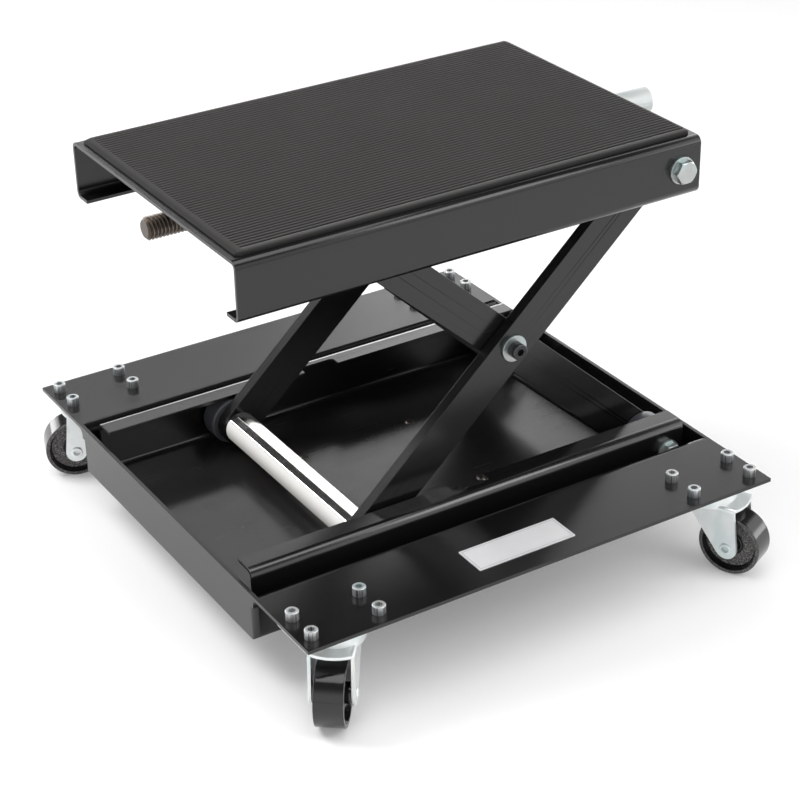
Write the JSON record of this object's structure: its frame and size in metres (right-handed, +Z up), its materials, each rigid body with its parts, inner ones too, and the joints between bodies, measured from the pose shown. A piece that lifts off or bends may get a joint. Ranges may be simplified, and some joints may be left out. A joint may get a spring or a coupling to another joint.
{
  "type": "scissor lift jack",
  "caption": "Scissor lift jack with a rubber-topped deck raised by a lead screw, carried in a folded sheet dolly on swivel castors.",
  "frame": {"origin": "on the floor, under the centre of the overall box; the centre of the dolly is at -15.5 mm X and +11 mm Y", "axes": "+X along the deck towards the drive sleeve, +Z up, -Y towards the wing that carries the label plate"},
  "size_m": [0.4749, 0.4835, 0.3376],
  "materials": {
    "black_steel": "semi-gloss black powder coat",
    "zinc": "bright zinc plate",
    "chrome": "polished chrome plate",
    "nylon": "grey moulded nylon",
    "rubber_mat": "matt ribbed rubber",
    "screw_steel": "oiled dark steel",
    "bright_steel": "ground steel",
    "black_oxide": "black oxide",
    "cast_wheel": "black enamel over cast iron, smooth tread",
    "label": "plain silver-grey plate"
  },
  "bodies": {
    "dolly": {"dolly_frame": "black_steel", "label_plate": "label", "base_channel": "black_steel", "base_rivets": "screw_steel", "castor_plates": "zinc", "castor_screws": "zinc", "castor_nuts": "zinc", "castor_kingpins": "zinc", "castor_balls": "bright_steel", "base_pivot_bolts": "zinc", "base_pivot_washers": "zinc", "base_pivot_spacers": "nylon", "base_pivot_nuts": "zinc"},
    "inner_arms": {"inner_arm_front": "black_steel", "inner_arm_rear": "black_steel", "inner_cross_plate": "black_steel"},
    "outer_arms": {"outer_arm_front": "black_steel", "outer_arm_rear": "black_steel", "spacer_tube": "chrome", "lower_axle": "zinc", "lower_axle_clips": "zinc", "centre_pivot_screws": "black_oxide", "centre_pivot_washers": "zinc", "centre_pivot_bushes": "bright_steel", "centre_pivot_nuts": "zinc"},
    "base_roller_f": {"base_roller_front": "nylon"},
    "base_roller_r": {"base_roller_rear": "nylon"},
    "nut": {"trunnion_nut": "screw_steel", "trunnion_spacers": "zinc", "trunnion_clips": "zinc"},
    "deck_roller_f": {"deck_roller_front": "nylon"},
    "deck_roller_r": {"deck_roller_rear": "nylon"},
    "deck": {"deck_channel": "black_steel", "rubber_mat": "rubber_mat", "thrust_block": "screw_steel", "deck_pivot_bolts": "zinc", "deck_pivot_washers": "zinc", "deck_pivot_spacers": "nylon"},
    "screw": {"lead_screw": "screw_steel", "stop_collar": "zinc", "thrust_bearing": "bright_steel", "drive_sleeve": "zinc", "sleeve_pin": "zinc"},
    "castor_front_left": {"castor_fork_front_left": "zinc", "castor_axle_front_left": "zinc"},
    "wheel_front_left": {"castor_wheel_front_left": "cast_wheel"},
    "castor_front_right": {"castor_fork_front_right": "zinc", "castor_axle_front_right": "zinc"},
    "wheel_front_right": {"castor_wheel_front_right": "cast_wheel"},
    "castor_rear_left": {"castor_fork_rear_left": "zinc", "castor_axle_rear_left": "zinc"},
    "wheel_rear_left": {"castor_wheel_rear_left": "cast_wheel"},
    "castor_rear_right": {"castor_fork_rear_right": "zinc", "castor_axle_rear_right": "zinc"},
    "wheel_rear_right": {"castor_wheel_rear_right": "cast_wheel"}
  },
  "joints": [
    {"name": "arm_fold", "type": "hinge", "parent": "dolly", "child": "inner_arms", "pos_m": [0.169, 0.011, 0.0621], "axis": [0, 1, 0], "range_deg": [-34.6, 11.6]},
    {"name": "outer_arm_turn", "type": "hinge", "parent": "inner_arms", "child": "outer_arms", "pos_m": [0.03216, 0.011, 0.1866], "axis": [0, 1, 0], "range_deg": [-23.4, 69.4]},
    {"name": "deck_level", "type": "hinge", "parent": "outer_arms", "child": "deck", "pos_m": [0.169, 0.011, 0.3111], "axis": [0, 1, 0], "range_deg": [-34.8, 11.8]},
    {"name": "nut_level", "type": "hinge", "parent": "inner_arms", "child": "nut", "pos_m": [-0.10468, 0.011, 0.3111], "axis": [0, 1, 0], "range_deg": [-11.8, 34.8]},
    {"name": "screw_spin", "type": "hinge", "parent": "deck", "child": "screw", "pos_m": [0.169, 0.011, 0.3111], "axis": [1, 0, 0], "continuous": true},
    {"name": "base_roller_front_spin", "type": "hinge", "parent": "outer_arms", "child": "base_roller_f", "pos_m": [-0.10468, -0.107, 0.0621], "axis": [0, 1, 0], "continuous": true},
    {"name": "base_roller_rear_spin", "type": "hinge", "parent": "outer_arms", "child": "base_roller_r", "pos_m": [-0.10468, 0.129, 0.0621], "axis": [0, 1, 0], "continuous": true},
    {"name": "deck_roller_front_spin", "type": "hinge", "parent": "nut", "child": "deck_roller_f", "pos_m": [-0.10468, -0.107, 0.3111], "axis": [0, 1, 0], "continuous": true},
    {"name": "deck_roller_rear_spin", "type": "hinge", "parent": "nut", "child": "deck_roller_r", "pos_m": [-0.10468, 0.129, 0.3111], "axis": [0, 1, 0], "continuous": true},
    {"name": "castor_front_left_swivel", "type": "hinge", "parent": "dolly", "child": "castor_front_left", "pos_m": [-0.1874, -0.1925, 0.073], "axis": [0, 0, 1], "continuous": true},
    {"name": "wheel_front_left_spin", "type": "hinge", "parent": "castor_front_left", "child": "wheel_front_left", "pos_m": [-0.20219, -0.21076, 0.0258], "axis": [0.7771, -0.6293, 0], "continuous": true},
    {"name": "castor_front_right_swivel", "type": "hinge", "parent": "dolly", "child": "castor_front_right", "pos_m": [0.1564, -0.1925, 0.073], "axis": [0, 0, 1], "continuous": true},
    {"name": "wheel_front_right_spin", "type": "hinge", "parent": "castor_front_right", "child": "wheel_front_right", "pos_m": [0.1667, -0.21362, 0.0258], "axis": [0.8988, 0.4384, 0], "continuous": true},
    {"name": "castor_rear_left_swivel", "type": "hinge", "parent": "dolly", "child": "castor_rear_left", "pos_m": [-0.1874, 0.2145, 0.073], "axis": [0, 0, 1], "continuous": true},
    {"name": "wheel_rear_left_spin", "type": "hinge", "parent": "castor_rear_left", "child": "wheel_rear_left", "pos_m": [-0.20975, 0.22176, 0.0258], "axis": [-0.309, -0.9511, 0], "continuous": true},
    {"name": "castor_rear_right_swivel", "type": "hinge", "parent": "dolly", "child": "castor_rear_right", "pos_m": [0.1564, 0.2145, 0.073], "axis": [0, 0, 1], "continuous": true},
    {"name": "wheel_rear_right_spin", "type": "hinge", "parent": "castor_rear_right", "child": "wheel_rear_right", "pos_m": [0.1351, 0.20457, 0.0258], "axis": [0.4226, -0.9063, 0], "continuous": true}
  ],
  "couplings": [
    {"joint": "outer_arm_turn", "follows": "arm_fold", "ratio": -2},
    {"joint": "deck_level", "follows": "arm_fold", "ratio": 1},
    {"joint": "nut_level", "follows": "arm_fold", "ratio": -1}
  ]
}
